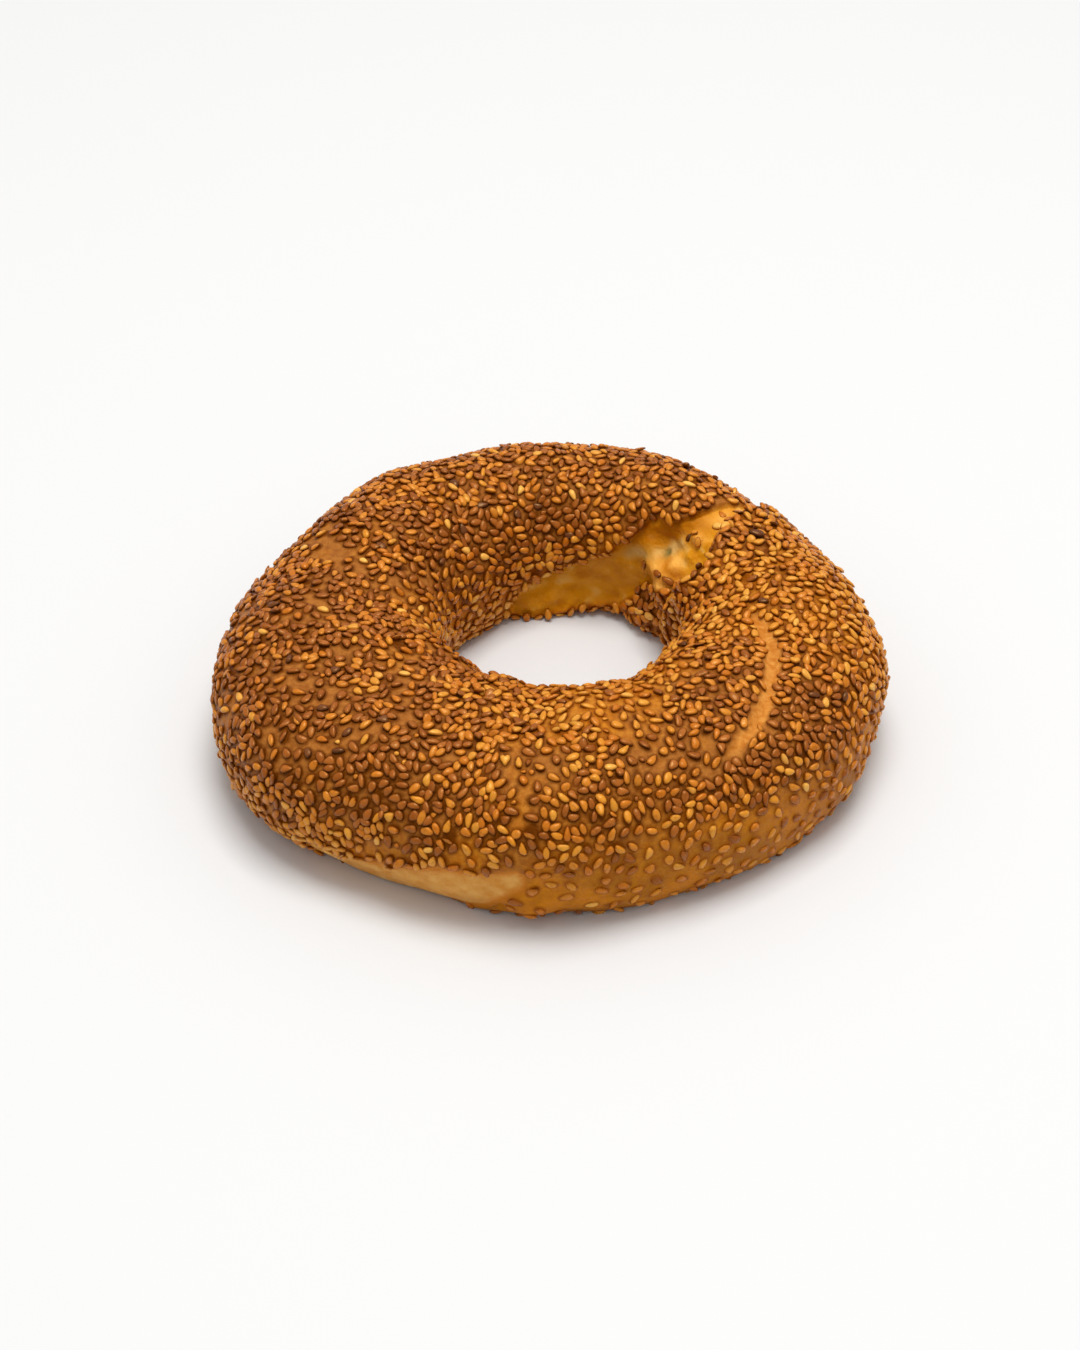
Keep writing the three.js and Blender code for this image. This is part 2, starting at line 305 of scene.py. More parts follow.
def smooth_dough(azimuth, section):
    """Points and outward normals of the dough before its relief."""
    outer, inner, height = (station(column, azimuth) for column in range(3))
    half_width = (outer - inner) / 2
    widest = WIDEST_AT * height
    c, s = np.cos(np.radians(section)), np.sin(np.radians(section))
    half_height = np.where(s > 0, height - widest, SAG * widest)
    radius = inner + half_width * (1 + signed_power(c, 2 / SECTION_POWER))
    across = signed_power(c, 2 - 2 / SECTION_POWER) / half_width
    up = signed_power(s, 2 - 2 / SECTION_POWER) / half_height
    x, y = np.cos(np.radians(azimuth)), np.sin(np.radians(azimuth))
    z = widest + half_height * signed_power(s, 2 / SECTION_POWER)
    points = np.stack([RING_CENTRE[0] + radius * x, RING_CENTRE[1] + radius * y, z], axis=-1)
    return points, unit(np.stack([across * x, across * y, up], axis=-1))


def on_dough(places):
    azimuth, section = np.array(places, float).T
    return smooth_dough(azimuth, section)[0]


def distance_from(place, points):
    return np.linalg.norm(points - on_dough([place])[0], axis=-1)


def distance_to(line, points):
    """How far points are from a line of places, and how far along it, from 0 to 1."""
    path = on_dough(line)
    best = np.full(points.shape[:-1], np.inf)
    along = np.zeros(points.shape[:-1])
    for i, (start, end) in enumerate(zip(path, path[1:])):
        way = end - start
        share = np.clip((points - start) @ way / (way @ way), 0, 1)
        distance = np.linalg.norm(points - start - share[..., None] * way, axis=-1)
        along = np.where(distance < best, (i + share) / (len(path) - 1), along)
        best = np.minimum(best, distance)
    return best, along


def is_inside(azimuth, section, outline):
    inside = np.zeros(azimuth.shape, bool)
    for (a1, s1), (a2, s2) in zip(outline, np.roll(outline, -1, axis=0)):
        if s1 != s2:
            crosses = (s1 > section) != (s2 > section)
            inside ^= crosses & (azimuth < a1 + (a2 - a1) * (section - s1) / (s2 - s1))
    return inside


LAP = spline(LAP_LINE)
SEAM = spline(SEAM_LINE)
LAP_OVER_TEAR = LAP[(LAP[:, 1] > TEAR_ALONG_LAP[0]) & (LAP[:, 1] < TEAR_ALONG_LAP[1])]
TEAR = np.vstack([spline(TEAR_UPPER), LAP_OVER_TEAR, spline(TEAR_LOWER)])
SCUFF = spline(SCUFF_LINE + SCUFF_LINE[:1])[:-1]


def lap_azimuth(section):
    return np.interp(section, LAP[:, 1], LAP[:, 0])


def inside_depth(outline, azimuth, section, points):
    """How far points are inside an outline. It is negative outside."""
    distance, _ = distance_to(np.vstack([outline, outline[:1]]), points)
    return np.where(is_inside(azimuth, section, outline), distance, -distance)


class Crust:
    """The crust at a grid of places: its points and what covers it there."""

    ragged = Noise(1)
    lumpy = Noise(2)
    fibre = Noise(3)
    patchy = Noise(5)

    def __init__(self, azimuth, section):
        self.azimuth, self.section = azimuth, section
        self.smooth, self.normal = smooth_dough(azimuth, section)
        jag = self.ragged.layered(self.smooth, JAGS)
        self.tear_depth = inside_depth(TEAR, azimuth, section, self.smooth) + jag
        self.scuff_depth = inside_depth(SCUFF, azimuth, section, self.smooth) + jag
        self.tear = smoothstep(self.tear_depth, -TEAR_EDGE / 2, TEAR_EDGE / 2)
        self.scuff = smoothstep(self.scuff_depth, -SCUFF_EDGE / 2, SCUFF_EDGE / 2)
        self.seam = self.seam_strength(*distance_to(SEAM, self.smooth))
        self.lap_distance, _ = distance_to(LAP, self.smooth)
        self.on_arm = (azimuth - lap_azimuth(section)) % 360 > 180
        self.points = self.smooth + self.normal * self.relief()[..., None]
        self.points[..., 2] = self.flatten_foot(self.points[..., 2])

    def near(self, place, radius):
        """1 at a place, down to a third at a radius."""
        return bell(distance_from(place, self.smooth) / radius)

    def near_line(self, line, width):
        """1 on a line of places, down to a third at a width."""
        return bell(distance_to(line, self.smooth)[0] / width)

    def facing(self, azimuth):
        """1 at an azimuth of the ring, to 0 opposite it."""
        return 0.5 + 0.5 * np.cos(np.radians(self.azimuth - azimuth))

    @staticmethod
    def seam_strength(distance, along):
        fade = smoothstep(along, *SEAM_STARTS) * (1 - smoothstep(along, *SEAM_ENDS))
        return fade * bell(distance / SEAM_HALF_WIDTH)

    def twist(self):
        valley_azimuth, valley_section = TWIST_VALLEY_AT
        join = lap_azimuth(90)
        from_join = (self.azimuth - join) % 360
        valley = valley_section + TWIST_TURN * (from_join - (valley_azimuth - join) % 360)
        fade = smoothstep(np.minimum(from_join, 360 - from_join), *TWIST_FADE)
        return -TWIST_DEPTH * fade * np.cos(2 * np.radians(self.section - valley))

    def lap(self):
        signed = np.where(self.on_arm, self.lap_distance, -self.lap_distance)
        on_arm = smoothstep(signed, -LAP_STEP / 2, LAP_STEP / 2)
        span = smoothstep(self.section, *LAP_STARTS) * (1 - smoothstep(self.section, *LAP_ENDS))
        rise = LAP_RISE * np.exp(-self.lap_distance / LAP_REACH)
        crease = LAP_CREASE * np.exp(-self.lap_distance / LAP_CREASE_REACH)
        return span * (on_arm * rise - (1 - on_arm) * crease)

    def fibres(self, slant, long_amount, long_wavelengths, short_amount, short_wavelength):
        """Noise of torn dough, with long fibres along the tear and short ones every way."""
        around = self.azimuth * TEAR_AZIMUTH_DEGREE + self.section * slant
        unrolled = np.stack([around, self.section * TEAR_SECTION_DEGREE, 0 * self.azimuth], axis=-1)
        long_ones = long_amount * self.fibre(unrolled, long_wavelengths)
        return long_ones + short_amount * self.fibre(self.smooth, short_wavelength)

    def relief(self):
        """The height of everything that isn't the smooth dough."""
        height = self.twist() + self.lap()
        for amount, around, across, phase in SWELLS:
            height += amount * np.sin(np.radians(around * self.azimuth + across * self.section + phase))
        height -= TEAR_DEPTH * self.tear + SCUFF_DEPTH * self.scuff + SEAM_DEPTH * self.seam
        for azimuth, section, radius, amount in LUMPS:
            height += amount * self.near((azimuth, section), radius)
        for line, radius, amount in RIDGES:
            height += amount * self.near_line(line, radius)
        height += self.lumpy.layered(self.smooth, LUMPINESS)
        return height + self.tear * self.fibres(*TEAR_STRANDS)

    @staticmethod
    def flatten_foot(z):
        soft = (z + FOOT_ROUND) ** 2 / (4 * FOOT_ROUND)
        flat = np.where(z > FOOT_ROUND, z, np.where(z < -FOOT_ROUND, 0, soft))
        return np.maximum(flat, FOOT_LIFT)

    def low_front(self):
        """1 low on the front and right, where the seeds are few and deep in the crust, to 0."""
        nearness = smoothstep(self.facing(LOW_FRONT_AZIMUTH), *LOW_FRONT_NEARNESS)
        edge = lerp(*LOW_FRONT_EDGE, nearness)
        above = smoothstep(self.section, edge - LOW_FRONT_SOFTNESS, edge + LOW_FRONT_SOFTNESS)
        return (1 - above) * (self.section < 90)

    def underneath(self):
        outer, inner = UNDERNEATH_BEYOND
        return (self.section < outer) | (self.section > inner)

    def bake(self):
        """How brown the crust is, from 0 to 1, with painted shade under the knob and above the tear's far
        end.
        """
        top = smoothstep(self.points[..., 2], *BAKE_TOP_HEIGHTS)
        inside = smoothstep(self.section, *BAKE_INSIDE_SECTIONS)
        brown = BAKE_EVERYWHERE + BAKE_TOP * top + BAKE_INSIDE * inside
        brown += BAKE_RIGHT_ARM * self.facing(RIGHT_ARM_AZIMUTH) ** 2
        for azimuth, section, radius, amount in BROWNINGS_AND_SHADE:
            brown += amount * self.near((azimuth, section), radius)
        brown += self.patchy.layered(self.smooth, BAKE_PATCHES)
        return np.clip(brown, 0, 1)

    def streaks(self):
        """Light and dark streaks of torn dough along the tear, from -1 to 1."""
        return self.fibres(*TEAR_STREAKS)

    def cream(self):
        """1 where the tear shows its palest crumb, on both sides of the pit, to 0."""
        strength = CREAM_STRENGTH * self.near_line(*CREAM_LINE)
        return np.clip(strength + CREAM_STREAKS * self.streaks() - CREAM_LOSS, 0, 1)

    def under_edge_shade(self):
        """1 on the dough under the tear's upper edge, darker there as painted shade from the crust over
        it, to 0.
        """
        strength = UNDER_EDGE_SHADE_STRENGTH * self.near_line(*UNDER_EDGE_SHADE_LINE)
        return np.clip(strength + UNDER_EDGE_SHADE_STREAKS * self.streaks(), 0, 1)

    def amber(self):
        """1 on the dough that browned to orange, which is most of what stands up in the tear, to 0."""
        lumps = self.near_line(*AMBER_KNOB) + self.near(*AMBER_CHUNK) + self.near(*AMBER_BLOB)
        strip = self.near_line(*AMBER_STRIP)
        return np.clip(AMBER_STRENGTH * lumps + AMBER_STRIP_STRENGTH * strip, 0, 1)

    def pit(self):
        """1 in the small dark pit beside the knob, to 0."""
        return self.near(*DARK_PIT)

    def thin(self):
        """1 where the seeds lie apart and smooth crust shows, mostly at the front and left, to 0."""
        nearness = np.cos(np.radians(self.azimuth - THIN_AZIMUTH))
        side = lerp(THIN_ELSEWHERE, 1, smoothstep(nearness, *THIN_NEARNESS))
        return smoothstep(self.patchy(self.smooth, THIN_PATCH), *THIN_PATCH_SPAN) * side

    def cover(self):
        """How thickly the seeds lie, from 0 to 1."""
        cover = 1 - LOW_FRONT_LOSS * self.low_front()
        cover = np.where(self.section > INNER_FOOT_FROM, INNER_FOOT_COVER * cover, cover)
        cover = np.where(self.underneath(), UNDERNEATH_COVER, cover)
        cover *= 1 - smoothstep(self.seam, *SEAM_BARE)
        cover *= (self.tear_depth < -BARE_MARGIN) & (self.scuff_depth < -BARE_MARGIN)
        for azimuth, section, radius in BALD:
            cover *= distance_from((azimuth, section), self.smooth) > radius
        return cover


# ---- Meshes ----


def make_mesh(name, points, faces, attributes=None, normals=None):
    """A smooth-shaded mesh object from points in millimetres, faces and per-point values."""
    mesh = bpy.data.meshes.new(name)
    mesh.from_pydata((np.asarray(points) * MM).tolist(), [], [list(face) for face in faces])
    for key, values in (attributes or {}).items():
        layer = mesh.attributes.new(key, "FLOAT", "POINT")
        layer.data.foreach_set("value", np.asarray(values, np.float32).ravel())
    mesh.shade_smooth()
    if normals is not None:
        mesh.normals_split_custom_set_from_vertices(normals.tolist())
    piece = bpy.data.objects.new(name, mesh)
    bpy.context.scene.collection.objects.link(piece)
    return piece


def stretches(parts):
    """Angles once round, from (start, end, count) stretches."""
    return np.concatenate([np.linspace(start, end, count, endpoint=False) for start, end, count in parts])


# The grid is finest over the tear. Start, end and number of lines.
AZIMUTH_LINES = [(18, 108, 340), (108, 378, 780)]
SECTION_LINES = [(-90, -45, 10), (-45, 62, 52), (62, 212, 98), (212, 270, 16)]


def crust_grid():
    azimuth = stretches(AZIMUTH_LINES) % 360
    section = stretches(SECTION_LINES)
    return np.meshgrid(azimuth, section, indexing="ij")


def strip_faces(rows, columns):
    """Faces between the rows of a strip whose columns meet themselves."""
    i, j = np.meshgrid(np.arange(rows - 1), np.arange(columns), indexing="ij")
    next_j = (j + 1) % columns
    corners = [(i, j), (i + 1, j), (i + 1, next_j), (i, next_j)]
    return np.stack([a * columns + b for a, b in corners], axis=-1).reshape(-1, 4)


def surface_normals(points):
    """Outward normals of a grid that meets itself both ways round."""
    along = np.roll(points, -1, axis=0) - np.roll(points, 1, axis=0)
    across = np.roll(points, -1, axis=1) - np.roll(points, 1, axis=1)
    return unit(np.cross(along, across) + 1e-12)


# ---- Sesame ----

# Length, width and thickness of whole seeds, of chips and of flat flakes: the least and the most.
WHOLE_SEED = [(2.75, 3.7), (1.6, 2.2), (1.1, 1.55)]
CHIP = [(1.3, 2.2), (1.0, 1.5), (0.7, 1.1)]
FLAKE = [(2.5, 3.6), (1.9, 2.5), (0.5, 0.9)]
LONE_SEED = (3.1, 1.9, 1.2)
LONE_SEED_RAISE = 0.25  # its middle above the crust, as a share of its thickness

# The shape of a seed. Its rings, from the top down, are a share of its outline and a height as a
# share of its thickness.
SEED_SIDES = 12
SEED_TAPER = 0.24  # how much narrower it gets towards its tip, and wider towards its end
SEED_RINGS = [(0.52, 0.43), (0.86, 0.26), (1.0, -0.05)]
SEED_TOP = 0.5
GIRTH_SPREAD = 0.055  # how uneven its outline is
DENT = (-0.04, 0.16)  # how far its top sinks in, as a share of its thickness

# How seeds are thrown. Darts are tries. An overlap is how near two may lie, where 1 is side by side,
# a lift is how far they lie above the crust, and a lean is how many degrees they tip.
LYING_DARTS = 70000
LYING_OVERLAP = (0.61, 0.86)  # in thick places and in thin ones
LYING_LEAN = 11
LEAST_WEIGHT = 0.15  # the chance of a dart where the cover is next to nothing
CHIP_DARTS = 6000
CHIP_OVERLAP = 0.7
CHIP_LEAN = 14
CHIP_WEIGHT = 1.2
HEAPED_DARTS = 6000
HEAPED_OVERLAP = 0.55
HEAPED_LIFT = 0.6
HEAPED_LEAN = 22
FLAKE_DARTS = 2500
FLAKE_LEAN = 28
THIN_GAP = 0.55  # how far apart they lie in thin places
BARE_GAP = 1.9  # and where the cover is next to nothing

# Where seeds are heaped, on thick cover only: at the rims of the tear and the scuff, along the lap and
# on the arm's fold. How wide each is, how far round the dough it goes and how likely a heap is there.
THICK_COVER = 0.7
RIM_WIDTH = 1.2
TEAR_RIM_UP_TO = 172
LAP_HEAP_WIDTH = 9
LAP_HEAP_SECTIONS = (60, 175)
FOLD_HEAP_WIDTH = 5
HEAPS_EVERYWHERE = 0.4
HEAPS_AT_RIMS = 1.5
HEAPS_AT_LAP = 1.7
FLAKES_EVERYWHERE = 0.1

# How deep seeds sit in the crust, as a share of their thickness.
SUNK = (0.26, 0.46)  # anywhere and low on the front
SUNK_UNDERNEATH = 0.5
MIDDLE_UNDERNEATH = 0.55  # how high their middle is over the table

SUNK_EDGE_SHADE_LOSS = 0.55  # how much less painted shade darkens the edges of the seeds low on the front
CLEAR_OF_FLOOR = 0.02  # the least height of any point of a seed

# The collar of crust that rises round a seed.
COLLAR = 0.18
COLLAR_REACH = 0.4
COLLAR_HEIGHTS = (1, 4)  # heights above the table over which it sets in
NEAREST_SEEDS = 4  # how many are looked at for each place of the crust

# The kinds of sesame, from the palest to the darkest, and how toasted a seed is where one kind ends
# and the next begins.
KINDS = ["sesame_pale", "sesame_golden", "sesame_amber", "sesame_toasted", "sesame_dark"]
KIND_LIMITS = [-0.22, 0.4, 0.84, 1.6]
TOAST_LOW_FRONT = 0.45  # how much more toasted they are low on the front
TOAST_SPREAD = 0.29
ODD_PALE = 0.016  # the share of pale ones and of dark ones anywhere
ODD_DARK = 0.001

RANDOM = np.random.default_rng(11)

# Seeds with a place of their own: azimuth, section, turn, kind, size, lift.
LONE_SEEDS = [
    (56.0, 169, 80, 3, 1.0, 0.2),
    (48.0, 166, 10, 3, 1.0, 0.0),
    (43.0, 166, 160, 3, 1.1, 0.0),
    (47.0, 176, 95, 2, 1.0, 0.2),
    (44.0, 177, 100, 2, 1.1, 0.2),
    (41.5, 172, 20, 2, 1.1, 0.2),
    (39.0, 168, 120, 2, 1.0, 0.2),
    # The seeds under the knob are of darker kinds: toasted, and darker still as painted shade there.
    (53.0, 181, 30, 3, 1.0, 0.2),
    (58.0, 188, 60, 3, 1.0, 0.2),
    (43.0, 123, 60, 1, 0.9, 0.2),
    (40.5, 127, 100, 1, 0.9, 0.2),
    (44.5, 129, 90, 4, 0.8, 0.0),
    (55.5, 194, 100, 3, 1.1, 0.2),
    (50.5, 191, 60, 2, 1.0, 0.2),
    (50.5, 197, 10, 0, 1.1, 0.2),
    (46.0, 186, 140, 3, 1.0, 0.2),
    (55.0, 201, 120, 2, 1.1, 0.2),
    (48.0, 110, 85, 2, 1.0, 0.2),
    (43.5, 89, 10, 2, 1.0, -0.3),
    (40.5, 100, 5, 0, 1.15, 0.1),
    (28.0, 90, 80, 4, 1.3, 0.6),
    (344.5, 137, 60, 4, 0.9, 0.2),
    (1.0, 97, 20, 4, 0.9, 0.3),
]


def seed_shape():
    """The points and faces of a seed about the origin, the place of each point along it, from 0 at
    its end to 1 at its tip, and how near its edge the point is, from 0 to 1."""
    angle = 2 * np.pi * np.arange(SEED_SIDES) / SEED_SIDES
    outline = np.stack([np.cos(angle), np.sin(angle) * (1 - SEED_TAPER * np.cos(angle))], axis=-1) / 2
    rings = [
        np.column_stack([share * outline, np.full(SEED_SIDES, height)]) for share, height in SEED_RINGS
    ]
    points = np.vstack([[0, 0, SEED_TOP], *rings, [0, 0, -SEED_TOP]])
    bottom = len(points) - 1
    faces = []
    for side in range(SEED_SIDES):
        beside = (side + 1) % SEED_SIDES
        faces.append((0, 1 + side, 1 + beside))
        for ring in range(len(SEED_RINGS) - 1):
            high, low = 1 + ring * SEED_SIDES, 1 + (ring + 1) * SEED_SIDES
            faces.append((high + side, low + side, low + beside, high + beside))
        last = bottom - SEED_SIDES
        faces.append((last + side, bottom, last + beside))
    # How near the seed's edge each point is; the seed's colour uses it for painted shade on its sides.
    edge = 1 - smoothstep(points[:, 2], 0.0, SEED_TOP)
    return points, faces, points[:, 0] + 0.5, edge


def tangents(normals, turn):
    """Unit vectors in the surface, turned from level by an angle about its normals."""
    level = unit(np.cross([0.0, 0.0, 1.0], normals) + 1e-9)
    beside = np.cross(normals, level)
    return np.cos(turn)[:, None] * level + np.sin(turn)[:, None] * beside


def discs_of(point, axis, length, width):
    """The middles of three discs in a row that stand for a lying seed."""
    core = (length - width) / 2
    return point + np.outer([-core, 0, core], axis)


class Neighbours:
    cell = 4.0

    def __init__(self):
        self.cells = {}

    def key(self, point):
        return tuple(np.floor(point / self.cell).astype(int))

    def leave_room(self, discs, radius, overlap, gap):
        centre = self.key(discs[1])
        for step in np.ndindex(3, 3, 3):
            for other, other_radius in self.cells.get(tuple(np.add(centre, step) - 1), ()):
                reach = overlap * (radius + other_radius) + gap
                apart = discs[:, None] - other[None]
                if np.einsum("ijk,ijk->ij", apart, apart).min() < reach * reach:
                    return False
        return True

    def add(self, discs, radius):
        self.cells.setdefault(self.key(discs[1]), []).append((discs, radius))


class Seeds:
    """Seeds strewn over the crust: a place, an axis, a normal, a size and a kind for each."""

    def __init__(self, crust):
        self.crust = crust
        self.normals = surface_normals(crust.points)
        self.cover = crust.cover()
        self.bake = crust.bake()
        self.low = crust.low_front()
        self.under = crust.underneath()
        self.thin = crust.thin()
        self.neighbours = Neighbours()
        # Each batch: middles, axes, normals, sizes, kinds and how low on the front the seeds are.
        self.batches = []

    def darts(self, weight, count):
        """Random quads of the crust's grid, by area and weight, and random points on them."""
        corner = self.crust.points
        right, up = np.roll(corner, -1, axis=0), np.roll(corner, -1, axis=1)
        area = np.linalg.norm(np.cross(right - corner, up - corner), axis=-1)
        chance = (area * weight).ravel()
        quad = RANDOM.choice(chance.size, count, p=chance / chance.sum())
        corner, right, up = (values.reshape(-1, 3)[quad] for values in (corner, right, up))
        share = RANDOM.uniform(0, 1, (2, count, 1))
        return quad, corner + share[0] * (right - corner) + share[1] * (up - corner)

    def strew(self, weight, count, shape, overlap, lift, lean):
        """Throws seeds and keeps those with room. The overlap is one number or one for each place."""
        quad, points = self.darts(weight, count)
        up = self.normals.reshape(-1, 3)[quad]
        axis = tangents(up, RANDOM.uniform(0, 2 * np.pi, count))
        sizes = np.stack([RANDOM.uniform(*span, count) for span in shape], axis=-1)
        gap = BARE_GAP * (1 - self.cover.ravel()[quad]) + THIN_GAP * self.thin.ravel()[quad]
        overlap = np.broadcast_to(overlap, self.cover.shape).ravel()[quad]
        kept = []
        for i in range(count):
            length, width, _ = sizes[i]
            discs = discs_of(points[i], axis[i], length, width)
            if self.neighbours.leave_room(discs, width / 2, overlap[i], gap[i]):
                self.neighbours.add(discs, width / 2)
                kept.append(i)
        self.keep(quad[kept], points[kept], axis[kept], up[kept], sizes[kept], lift, lean)

    def keep(self, quad, points, axis, up, sizes, lift, lean):
        axis, up = tip_over(axis, up, lean)
        under, low = self.under.ravel()[quad], self.low.ravel()[quad]
        sunk = np.where(under, SUNK_UNDERNEATH, lerp(*SUNK, low))
        centre = points + up * (sizes[:, 2] * (0.5 - sunk) + lift)[:, None]
        centre[under, 2] = MIDDLE_UNDERNEATH * sizes[under, 2]
        toasted = self.bake.ravel()[quad] + TOAST_LOW_FRONT * low
        toasted += RANDOM.normal(0, TOAST_SPREAD, len(quad))
        kind = np.digitize(toasted, KIND_LIMITS)
        odd = RANDOM.uniform(0, 1, len(quad))
        kind = np.where(odd < ODD_PALE, 0, kind)
        kind = np.where(odd > 1 - ODD_DARK, len(KINDS) - 1, kind)
        self.batches.append((centre, axis, up, sizes, kind, low))

    def place(self, lone_seeds):
        """Puts single seeds at places of their own."""
        for azimuth, section, turn, kind, size, lift in lone_seeds:
            around = np.abs((self.crust.azimuth - azimuth + 180) % 360 - 180)
            off = around + np.abs(self.crust.section - section)
            at = np.unravel_index(off.argmin(), off.shape)
            up = self.normals[at][None]
            axis = tangents(up, np.radians([turn]))
            length, width, thickness = size * np.array(LONE_SEED)
            point = self.crust.points[at]
            centre = point + up * (LONE_SEED_RAISE * thickness + lift)
            self.neighbours.add(discs_of(point, axis[0], length, width), width / 2)
            sizes = np.array([[length, width, thickness]])
            self.batches.append((centre, axis, up, sizes, np.array([kind]), self.low[at][None]))

    def joined(self):
        """All batches as one."""
        return [np.concatenate(values) for values in zip(*self.batches)]

    def clearance(self):
        """How far each place of the grid is from the outline of the nearest seed, negative under it."""
        centre, axis, up, sizes, _, _ = self.joined()
        side = np.cross(up, axis)
        tree = KDTree(len(centre))
        for number, place in enumerate(centre):
            tree.insert(place, number)
        tree.balance()
        points = self.crust.points.reshape(-1, 3)
        near = np.array([[found[1] for found in tree.find_n(point, NEAREST_SEEDS)] for point in points])
        clearance = np.full(len(points), np.inf)
        for number in near.T:
            offset = points - centre[number]
            u = np.sum(offset * axis[number], axis=-1)
            v = np.sum(offset * side[number], axis=-1)
            stretched = np.hypot(2 * u / sizes[number, 0], 2 * v / sizes[number, 1]) + 1e-6
            clearance = np.minimum(clearance, np.hypot(u, v) * (1 - 1 / stretched))
        return clearance.reshape(self.crust.azimuth.shape)

    def build(self):
        """One mesh object for each kind."""
        centre, axis, up, sizes, kind, low = self.joined()
        frame_axes = np.stack([axis, np.cross(up, axis), up], axis=1)
        template, faces, place, edge = seed_shape()
        pieces = []
        for number, name in enumerate(KINDS):
            chosen = np.flatnonzero(kind == number)
            shaped = misshapen(template, len(chosen)) * sizes[chosen, None]
            points = centre[chosen, None] + np.einsum("npk,nkx->npx", shaped, frame_axes[chosen])
            points[..., 2] = np.maximum(points[..., 2], CLEAR_OF_FLOOR)
            count = len(template)
            firsts = range(0, count * len(chosen), count)
            all_faces = [[first + corner for corner in face] for first in firsts for face in faces]
            values = {
                "tone": np.repeat(RANDOM.uniform(0, 1, len(chosen)), count),
                "along": np.tile(place, len(chosen)),
                # How much painted shade each point gets at the seed's edge, less on seeds low on the
                # front.
                "edge": np.outer(1 - SUNK_EDGE_SHADE_LOSS * low[chosen], edge),
            }
            print(name, len(chosen), "seeds")
            pieces.append(make_mesh(name, points.reshape(-1, 3), all_faces, values))
        return pieces


def misshapen(template, count):
    """Copies of a shape, each wider or narrower here and there and with a top of its own."""
    x, y, z = template.T
    angle = np.arctan2(y, x)
    amount = RANDOM.normal(0, GIRTH_SPREAD, (4, count, 1))
    girth = 1 + amount[0] * np.cos(2 * angle) + amount[1] * np.sin(2 * angle)
    girth += amount[2] * np.cos(3 * angle) + amount[3] * np.sin(3 * angle)
    dent = RANDOM.uniform(*DENT, (count, 1))
    return np.stack([x * girth, y * girth, z - dent * (z == SEED_TOP)], axis=-1)


def tip_over(axis, up, degrees):
    """Leans each seed a little, by random angles of about the given size."""
    lean = np.tan(np.radians(RANDOM.normal(0, degrees, (2, len(axis), 1))))
    tipped_up = unit(up + lean[0] * axis + lean[1] * np.cross(up, axis))
    tipped_axis = unit(axis - np.sum(axis * tipped_up, axis=-1, keepdims=True) * tipped_up)
    return tipped_axis, tipped_up


def strew_seeds(crust):
    """Lone seeds first, then whole ones all over, heaps and flakes on top, and chips between them."""
    seeds = Seeds(crust)
    seeds.place(LONE_SEEDS)
    even = (seeds.cover + LEAST_WEIGHT) * (seeds.cover > 0)
    overlap = lerp(*LYING_OVERLAP, seeds.thin)
    seeds.strew(even, LYING_DARTS, WHOLE_SEED, overlap, 0.0, LYING_LEAN)

    tear_rim = bell((crust.tear_depth + RIM_WIDTH) / RIM_WIDTH) * (crust.section < TEAR_RIM_UP_TO)
    rims = tear_rim + bell((crust.scuff_depth + RIM_WIDTH) / RIM_WIDTH)
    lap_from, lap_to = LAP_HEAP_SECTIONS
    lapped = crust.on_arm * bell(crust.lap_distance / LAP_HEAP_WIDTH)
    lapped *= (crust.section > lap_from) * (crust.section < lap_to)
    lapped += crust.near_line(FOLD[0], FOLD_HEAP_WIDTH)

    thick = seeds.cover > THICK_COVER
    heaps = (HEAPS_EVERYWHERE * (1 - seeds.thin) + HEAPS_AT_RIMS * rims + HEAPS_AT_LAP * lapped) * thick
    seeds.strew(heaps, HEAPED_DARTS, WHOLE_SEED, HEAPED_OVERLAP, HEAPED_LIFT, HEAPED_LEAN)
    flakes = (FLAKES_EVERYWHERE * (1 - seeds.thin) + lapped) * thick
    seeds.strew(flakes, FLAKE_DARTS, FLAKE, HEAPED_OVERLAP, HEAPED_LIFT, FLAKE_LEAN)
    chips = thick * (CHIP_WEIGHT - seeds.thin)
    seeds.strew(chips, CHIP_DARTS, CHIP, CHIP_OVERLAP, 0.0, CHIP_LEAN)
    return seeds


# ---- Materials ----

LIGHT_REACH = (1.0, 0.45, 0.15)  # how deep red, green and blue light goes in, as shares of a depth


def srgb(red, green, blue):
    """A colour from 0 to 255 as linear light."""
    values = np.array([red, green, blue]) / 255
    linear = np.where(values <= 0.04045, values / 12.92, ((values + 0.055) / 1.055) ** 2.4)
    return (*linear, 1)


